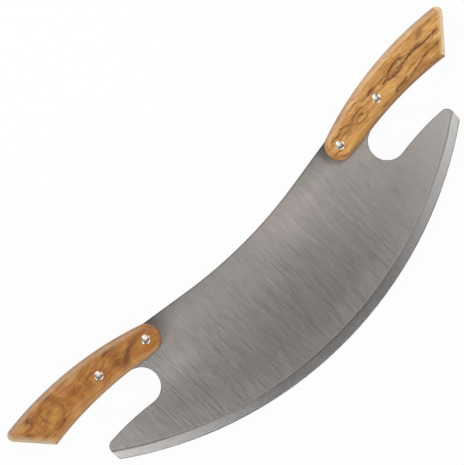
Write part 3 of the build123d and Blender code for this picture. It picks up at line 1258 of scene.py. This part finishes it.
# %% Tones and bands of the left-hand handle
reddish = {"name": "reddish_olive", "side": "left", "seed": 11.0}
reddish["tones"] = {
    "dark": (0.2, 0.0714, 0.0192, 1),
    "deep": (0.322, 0.114, 0.0227, 1),
    "middle": (0.422, 0.172, 0.0398, 1),
    "light": (0.533, 0.25, 0.071, 1),
    "pale": (0.644, 0.361, 0.156, 1),
    "gold": (0.555, 0.285, 0.0682, 1),
    "orange": (0.40, 0.145, 0.020, 1),
    "vein": (0.13, 0.0473, 0.0168, 1),
    "smudge": (0.2, 0.0714, 0.0264, 1),
    # The rim's tones: painted light and shade on the back, the belly, the slanted end and the nose
    "rim": (0.40, 0.33, 0.23, 1),
    "held": (0.50, 0.29, 0.10, 1),
    "end": (0.58, 0.44, 0.27, 1),
    "nose": (0.38, 0.16, 0.045, 1),
}
reddish["shares"] = {"broad": 0.12, "clouds": 0.40, "rings": 0.14, "grain": 0.34}
# Painted light along the back, the belly and the slanted end
reddish["shoulders"] = {
    "back": ("end", 3.1 * mm, 0.26),
    "belly": ("pale", 3.9 * mm, 0.32),
    "end": ("end", 3.4 * mm, 0.44),
}
print(len(reddish["tones"]), "tones")

# %% Knots, patches and swirls of the left-hand handle
reddish["knots"] = [
    (0.22, 0.42, 0.10, 0.22, 20, 0.9),
    (0.735, 0.52, 0.10, 0.22, 0, 0.8),
    (0.87, 0.78, 0.06, 0.12, 0, 0.8),
    (0.485, 0.47, 0.04, 0.09, 0, 0.8),
]
reddish["patches"] = [
    (0.10, 0.13, 0.14, 0.17, 8, "orange", 0.85),
    (0.165, 0.25, 0.05, 0.09, 20, "orange", 0.5),
    (0.730, 0.52, 0.064, 0.20, 22, "gold", 0.9),
    (0.79, 0.40, 0.05, 0.09, 20, "gold", 0.5),
    (0.700, 0.49, 0.035, 0.13, 10, "gold", 0.9),
    (0.745, 0.70, 0.04, 0.06, 0, "light", 0.5),
    (0.045, 0.30, 0.03, 0.10, 0, "deep", 0.5),
    (0.53, 0.81, 0.11, 0.09, 4, "pale", 0.6),
    (0.45, 0.74, 0.05, 0.06, 0, "deep", 0.6),
    (0.355, 0.45, 0.04, 0.10, 0, "deep", 0.5),
    (0.50, 0.215, 0.16, 0.04, 0, "light", 0.6),
    (0.59, 0.32, 0.09, 0.08, 0, "pale", 0.45),
    (0.92, 0.80, 0.07, 0.13, 0, "pale", 0.45),
    (0.875, 0.68, 0.035, 0.07, 0, "smudge", 0.5),
    (0.855, 0.83, 0.028, 0.08, 10, "smudge", 1.0),
    (0.850, 0.74, 0.030, 0.10, 0, "smudge", 0.8),
    (0.825, 0.80, 0.02, 0.06, 0, "smudge", 0.4),
    (0.915, 0.61, 0.020, 0.05, 0, "smudge", 0.85),
    (0.68, 0.88, 0.05, 0.05, 0, "smudge", 0.4),
    (0.665, 0.78, 0.028, 0.10, -5, "deep", 0.9),
    (0.685, 0.62, 0.02, 0.10, -5, "deep", 0.45),
    (0.70, 0.31, 0.035, 0.06, 0, "smudge", 0.6),
    (0.238, 0.30, 0.042, 0.19, 16, "smudge", 1.0),
    (0.19, 0.44, 0.06, 0.07, 12, "smudge", 0.45),
    (0.14, 0.48, 0.05, 0.05, 8, "smudge", 0.3),
    (0.30, 0.36, 0.050, 0.13, 0, "smudge", 0.7),
    (0.27, 0.56, 0.06, 0.06, 12, "deep", 0.5),
    (0.25, 0.65, 0.06, 0.05, 8, "smudge", 0.5),
    (0.305, 0.67, 0.050, 0.08, 0, "smudge", 0.8),
    (0.375, 0.66, 0.035, 0.12, 14, "deep", 0.6),
    (0.305, 0.51, 0.04, 0.05, 0, "light", 0.5),
    (0.485, 0.47, 0.035, 0.07, 10, "deep", 0.7),
    (0.535, 0.46, 0.035, 0.05, 0, "smudge", 0.35),
    (0.61, 0.58, 0.05, 0.10, 10, "deep", 0.2),
    (0.41, 0.26, 0.05, 0.05, 10, "deep", 0.6),
    (0.84, 0.25, 0.05, 0.07, 0, "pale", 0.6),
    (0.80, 0.24, 0.02, 0.03, 0, "smudge", 0.6),
    (0.64, 0.27, 0.015, 0.03, 0, "smudge", 0.4),
]
reddish["swirls"] = [
    (0.735, 0.52, 0.065, 0.20, 22, 0.35, "smudge", 0.30),
    (0.10, 0.10, 0.140, 0.36, 0, 0.20, "smudge", 0.52),
    (0.485, 0.47, 0.026, 0.055, 12, 0.60, "smudge", 0.35),
    (0.70, 0.66, 0.035, 0.16, 0, 0.50, "deep", 0.40),
    (0.725, 0.60, 0.060, 0.27, 0, 0.20, "smudge", 0.45),
]
print(len(reddish["patches"]), "patches")

# %% Veins of the left-hand handle
reddish["veins"] = [
    ([(0.38, 0.28), (0.42, 0.255), (0.50, 0.258), (0.56, 0.265), (0.60, 0.25)], 0.013, 0.55),
    ([(0.42, 0.19), (0.52, 0.19), (0.64, 0.16)], 0.012, 0.3),
    ([(0.64, 0.20), (0.70, 0.225), (0.76, 0.215), (0.80, 0.24)], 0.012, 0.45),
    ([(0.11, 0.475), (0.15, 0.455), (0.19, 0.42), (0.225, 0.32), (0.24, 0.20)], 0.016, 0.42),
    ([(0.17, 0.37), (0.205, 0.32), (0.23, 0.26), (0.24, 0.18)], 0.013, 0.45),
    ([(0.64, 0.82), (0.67, 0.86), (0.71, 0.89), (0.75, 0.885)], 0.014, 0.45),
    ([(0.23, 0.63), (0.27, 0.66), (0.31, 0.69)], 0.013, 0.5),
    ([(0.20, 0.58), (0.25, 0.60), (0.30, 0.585), (0.36, 0.56)], 0.012, 0.4),
    ([(0.24, 0.52), (0.29, 0.50), (0.34, 0.46)], 0.012, 0.4),
    ([(0.40, 0.60), (0.46, 0.56), (0.53, 0.54), (0.60, 0.56)], 0.012, 0.3),
    ([(0.845, 0.66), (0.855, 0.75), (0.862, 0.85)], 0.030, 0.5),
    ([(0.67, 0.36), (0.70, 0.30), (0.75, 0.28), (0.79, 0.30)], 0.014, 0.45),
    ([(0.885, 0.52), (0.90, 0.58), (0.93, 0.63)], 0.020, 0.5),
]
print(len(reddish["veins"]), "veins")

# %% [markdown]
# ## Finish of the wood
# The figure is drawn in a board's own directions: along the handle, across it and down from
# its face. The grain leans as it goes down, so that it moves on round the rim. Noise of two
# sizes bends the directions, so that no line is a perfect curve, and the knots push them aside.

# %% Places on a board
grain_lean = 0.8
bend_noise = (0.25, 0.75)
# Seed step, size, most along and most across
grain_bends = [
    (0, 11 * mm, 2.5 * mm, 1.0 * mm),
    (1, 1.9 * mm, 0.6 * mm, 0.45 * mm),
]


def board_place(tree, given, side):
    """Metres along the handle, across it and down from its face, leaning a little inwards."""
    low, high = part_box(f"{side}_front_scale")
    x, y, z = split(tree, given["Object"])
    direction, inner_x = (1, low.x) if side == "right" else (-1, high.x)
    along = compute(tree, "MULTIPLY", compute(tree, "SUBTRACT", x, inner_x), direction)
    height = gap_between(tree, z, plate_middle)
    depth = compute(tree, "SUBTRACT", height, high.z - plate_middle)
    across = compute(tree, "SUBTRACT", y, low.y)
    across = compute(tree, "MULTIPLY_ADD", depth, grain_lean, across)
    return along, across, depth


def ellipse_links(shares, x, y, half_x, half_y, turn):
    """The inputs that place one mark of the figure."""
    links = {"Place": shares, "Middle": (x, y, 0), "Half Size": (half_x, half_y, 1)}
    return {**links, "Turn": radians(-turn)}


def wood_places(tree, given, wood):
    """Shares of the handle for the figure, and the flow of the grain round the knots."""
    side = wood["side"]
    low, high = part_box(f"{side}_front_scale")
    length, width = high.x - low.x, high.y - low.y
    along, across, depth = board_place(tree, given, side)
    straight = join(tree, along, across, depth)
    for seed_step, size, most_along, most_across in grain_bends:
        bends = noise(tree, straight, size, 2.0, wood["seed"] + seed_step)["Color"]
        part = split(tree, bends)
        bend = rescale(tree, part[0], *bend_noise, -most_along, most_along, smooth=False)
        along = compute(tree, "ADD", along, bend)
        bend = rescale(tree, part[1], *bend_noise, -most_across, most_across, smooth=False)
        across = compute(tree, "ADD", across, bend)
    at = {"x": compute(tree, "DIVIDE", along, length), "y": compute(tree, "DIVIDE", across, width)}
    at["shares"] = join(tree, at["x"], at["y"])
    for *ellipse, force in wood["knots"]:
        links = {**ellipse_links(at["shares"], *ellipse), "Force": force}
        step = compute(tree, "MULTIPLY", use_group(tree, knot, links)[0], width)
        across = compute(tree, "ADD", across, step)
    at["flow"] = join(tree, along, across, depth)
    return at


print("noise bends the grain up to", round(grain_bends[0][2] / mm, 1), "mm")

# %% [markdown]
# Under the figure lies plain wood: broad bands, year rings, grain and cloudy spots, added in
# shares that differ from handle to handle. A ramp turns the sum into five tones, dark to pale.
# The finest layers, fibres and dashes, are kept for flecks, for roughness and for the veins.

# %% Layers of plain wood
# Mark length, mark width and seed step
layer_sizes = {
    "broad": (40 * mm, 5.5 * mm, 2),
    "rings": (34 * mm, 1.7 * mm, 3),
    "grain": (14 * mm, 0.7 * mm, 4),
    "fibres": (5 * mm, 0.25 * mm, 5),
    "dashes": (6 * mm, 0.9 * mm, 7),
}
cloud_spots = {"size": 8 * mm, "detail": 6.0, "roughness": 0.62}
cloud_seed_step = 6
tone_places = {"dark": 0.36, "deep": 0.44, "middle": 0.50, "light": 0.56, "pale": 0.65}


def wood_layers(tree, flow, seed):
    """Every layer of noise in the wood, by name."""
    layers = {
        layer: draw_streaks(tree, flow, mark_length, mark_width, seed + step)
        for layer, (mark_length, mark_width, step) in layer_sizes.items()
    }
    layers["clouds"] = noise(tree, flow, seed=seed + cloud_seed_step, **cloud_spots)[0]
    return layers


def add_ramp(tree, value, tones):
    """A colour that passes through tones, given with their places, as value rises."""
    node = add_node(tree, "ShaderNodeValToRGB", {0: value})
    ramp = node.color_ramp
    ramp.interpolation = "EASE"
    while len(ramp.elements) < len(tones):
        ramp.elements.new(0.5)
    for element, (place, tone) in zip(ramp.elements, tones):
        element.position = place
        element.color = tone
    return node.outputs[0]


def plain_wood(tree, layers, wood):
    """The colour of the wood before any mark is drawn on it."""
    tone = 0.0
    for layer, share in wood["shares"].items():
        tone = compute(tree, "MULTIPLY_ADD", layers[layer], share, tone)
    tones = [(place, wood["tones"][key]) for key, place in tone_places.items()]
    return add_ramp(tree, tone, tones)


print(len(layer_sizes) + 1, "layers of noise")

# %% [markdown]
# The marks go on in this order: soft patches, swirls, then the veins with the stain beside
# them. A swirl's ring is broken up by the clouds, and a vein's width and stain vary with the
# rings and the grain, because ink-sharp lines would look printed.

# %% The figure over the plain wood
# Each range is: from, to, and the value at each
broken_range = (0.40, 0.55, 0.25, 1.0)
thin_range = (0.35, 0.65, 0.6, 1.5)
streaked_range = (0.60, 0.40, 0.15, 1.0)
vein_stain_strength = 0.65


def draw_marks(tree, at, layers, wood, colour):
    """The patches and swirls of a figure."""
    tones = wood["tones"]
    for *ellipse, key, strength in wood["patches"]:
        mask = use_group(tree, soft_patch, ellipse_links(at["shares"], *ellipse))[0]
        colour = tint(tree, mask, strength, colour, tones[key])
    broken = rescale(tree, layers["clouds"], *broken_range)
    for *ellipse, ring_width, key, strength in wood["swirls"]:
        links = {**ellipse_links(at["shares"], *ellipse), "Width": ring_width}
        mask = compute(tree, "MULTIPLY", use_group(tree, soft_ring, links)[0], broken)
        colour = tint(tree, mask, strength, colour, tones[key])
    return colour


def draw_veins(tree, at, layers, wood, colour):
    """The veins of a figure, and a mask of what lies near any of them."""
    tones = wood["tones"]
    thin = rescale(tree, layers["rings"], *thin_range)
    streaked = rescale(tree, layers["grain"], *streaked_range)
    near_vein = 0.0
    for points, half_width, strength in wood["veins"]:
        curve = add_node(tree, "ShaderNodeFloatCurve", {"Value": at["x"]})
        draw_line(curve, points)
        half = compute(tree, "MULTIPLY", thin, half_width)
        links = {"Across": at["y"], "Line": curve.outputs[0], "Half Width": half}
        links.update({"Along": at["x"], "Start": points[0][0], "End": points[-1][0]})
        mask, beside = use_group(tree, vein_line, links)
        stain_and_shade = compute(tree, "MULTIPLY", beside, streaked)
        stain_strength = vein_stain_strength * strength
        colour = tint(tree, stain_and_shade, stain_strength, colour, tones["smudge"])
        near_vein = compute(tree, "MAXIMUM", beside, near_vein)
        colour = tint(tree, mask, strength, colour, tones["vein"])
    return near_vein, colour


print("the stain beside a vein has", vein_stain_strength, "of its strength")

# %% [markdown]
# Fine dark pores show all over olive wood, and short dashes of the vein's colour gather near
# the veins. Its hue wanders slightly too, and one Hue node does that better than more tones.

# %% Dashes, flecks and hue
# Each range is: from, to, and the value at each
dash_range = (0.52, 0.62, 0.0, 0.7)
fleck_range = (0.52, 0.72, 0.0, 0.45)
hue_spots = {"size": 9 * mm, "detail": 2.0}
hue_seed_step = 8
hue_range = (0.3, 0.7, 0.493, 0.507)


def add_flecks(tree, at, layers, wood, near_vein, colour):
    """Dashes near the veins, dark flecks everywhere, and a hue that drifts."""
    tones = wood["tones"]
    dashes = rescale(tree, layers["dashes"], *dash_range)
    colour = tint(tree, dashes, near_vein, colour, tones["vein"])
    flecks = rescale(tree, layers["fibres"], *fleck_range)
    colour = blend_colours(tree, flecks, colour, tones["dark"])
    hues = noise(tree, at["flow"], seed=wood["seed"] + hue_seed_step, **hue_spots)[0]
    hue = rescale(tree, hues, *hue_range, smooth=False)
    return add_node(tree, "ShaderNodeHueSaturation", {"Hue": hue, "Color": colour}).outputs[0]


print("hue drifts between", *hue_range[2:])

# %% [markdown]
# Beside the rounded rim lies a soft band of painted light and shade, its shoulder, a few
# millimetres in: lighter along the back and the slanted end, darker along the belly of the
# right-hand handle and lighter along that of the left. It can't come from the mesh, which is
# flat there, so it is painted by the distance from the back, the belly and the slanted end. Two
# arcs and a line stand for them.

# %% Painted light and shade on the shoulders beside the rim
back_radius = 274 * mm
back_centre = (184.3 * mm, -209.37 * mm, 0)
belly_radius = 291 * mm
belly_centre = (160.8 * mm, -257.47 * mm, 0)
end_turn = radians(41.1)
end_direction = (cos(end_turn), -sin(end_turn), 0)
end_reach = 129.85 * mm
shoulder_half_width = 2.0 * mm
shoulder_reach = (98 * mm, 112 * mm)


def rim_distances(tree, given):
    """How far in from the back, belly and slanted end of either handle, and past its nose."""
    x, y, z = split(tree, given["Object"])
    from_middle = compute(tree, "ABSOLUTE", x)
    half = join(tree, from_middle, y)
    from_back_centre = compute_vector(tree, "DISTANCE", half, back_centre)
    from_belly_centre = compute_vector(tree, "DISTANCE", half, belly_centre)
    reach = compute_vector(tree, "DOT_PRODUCT", half, end_direction)
    distances = {
        "back": compute(tree, "SUBTRACT", back_radius, from_back_centre),
        "belly": compute(tree, "SUBTRACT", from_belly_centre, belly_radius),
        "end": compute(tree, "SUBTRACT", end_reach, reach),
    }
    return distances, rescale(tree, from_middle, *shoulder_reach)


def paint_shoulder_light_and_shade(tree, given, wood, colour):
    """The soft bands of painted light and shade inside the rim."""
    distances, past_nose = rim_distances(tree, given)
    # Bands of painted light and shade, each in its own tone
    for rim, (key, depth, strength) in wood["shoulders"].items():
        gap = gap_between(tree, distances[rim], depth)
        mask = rescale(tree, gap, shoulder_half_width, 0.0, 0.0, strength)
        colour = tint(tree, mask, past_nose, colour, wood["tones"][key])
    return colour


print("shoulders are", round(2 * shoulder_half_width / mm, 1), "mm wide")

# %% [markdown]
# The rounded rim itself catches the light: a painted sheen makes it paler. The lean of the
# surface says where it is, and its direction says which part: the back, the belly, the round nose
# or the slanted end. Each has its own tone of painted light and shade, by the side the light falls
# from. The sawn walls below the rim are darker.

# %% Painted light on the rim
rim_lean = {"Start": 0.9999, "Full": 0.92}
wall_lean = {"Start": 0.6, "Full": 0.2}
rim_strength = 0.40
rim_range = (0.35, 0.65, 0.8 * rim_strength, 1.4 * rim_strength)
# How far the surface leans, from where a part starts to where it is full
held_lean = (0.10, -0.25)
nose_lean = (-0.10, -0.30)
end_lean = (0.10, 0.30)
end_tint_strength = 0.7
held_wear = 0.35
wall_strength = 0.5


def paint_rim_light(tree, given, layers, wood, colour):
    """The rim's painted light and shade in the tone of each part, and the darker walls."""
    tones = wood["tones"]
    # A painted sheen on the rounded rim, uneven with the grain
    rim_sheen = use_group(tree, rounded_edge, {"Normal": given["Normal"], **rim_lean})[0]
    uneven = rescale(tree, layers["grain"], *rim_range)
    rim_sheen = compute(tree, "MULTIPLY", rim_sheen, uneven)
    leaning = split(tree, given["Normal"])
    end_sign = 1.0 if wood["side"] == "right" else -1.0
    endwards = compute(tree, "MULTIPLY", leaning[0], end_sign)
    held = rescale(tree, leaning[1], *held_lean)
    at_nose = rescale(tree, endwards, *nose_lean)
    at_end = rescale(tree, endwards, *end_lean)
    # Painted light and shade by the way each part of the rim faces
    edge_tone = blend_colours(tree, held, tones["rim"], tones["held"])
    edge_tone = blend_colours(tree, at_nose, edge_tone, tones["nose"])
    edge_tone = blend_colours(tree, at_end, edge_tone, tones["end"])
    painted_light_share = compute(tree, "MULTIPLY_ADD", at_end, end_tint_strength, 1.0)
    painted_light_share = compute(tree, "MULTIPLY_ADD", held, held_wear, painted_light_share)
    colour = tint(tree, rim_sheen, painted_light_share, colour, edge_tone)
    wall = use_group(tree, rounded_edge, {"Normal": given["Normal"], **wall_lean})[0]
    return tint(tree, wall, wall_strength, colour, tones["deep"])


print("the rim's wear is", rim_strength, "strong")

# %% [markdown]
# Oiled wood has a thin clear coat over a matt body, and its fibres raise the surface by a
# hair. One function makes both woods, each from its own tables and seed.

# %% Olive wood
fibre_bump = {"Strength": 0.25, "Distance": 0.05 * mm}
wood_roughness = (0.2, 0.8, 0.36, 0.52)
oil = {"Specular IOR Level": 0.2, "Coat Weight": 0.5, "Coat Roughness": 0.14}


def make_wood(wood):
    """Olive wood whose figure is placed in shares of one handle's box."""
    material, tree, shader, given = new_material(wood["name"])
    at = wood_places(tree, given, wood)
    layers = wood_layers(tree, at["flow"], wood["seed"])
    colour = plain_wood(tree, layers, wood)
    colour = draw_marks(tree, at, layers, wood, colour)
    near_vein, colour = draw_veins(tree, at, layers, wood, colour)
    colour = add_flecks(tree, at, layers, wood, near_vein, colour)
    colour = paint_shoulder_light_and_shade(tree, given, wood, colour)
    colour = paint_rim_light(tree, given, layers, wood, colour)
    rough = rescale(tree, layers["fibres"], *wood_roughness, smooth=False)
    bump = add_node(tree, "ShaderNodeBump", {"Height": layers["fibres"], **fibre_bump})
    links = {"Base Color": colour, "Roughness": rough, "Normal": bump.outputs[0], **oil}
    feed(tree, shader, links)
    print(material.name, "has", len(tree.nodes), "nodes")
    return material


woods = {wood["side"]: make_wood(wood) for wood in (golden, reddish)}
for (side, face), board in boards.items():
    board.data.materials.clear()
    board.data.materials.append(woods[side])
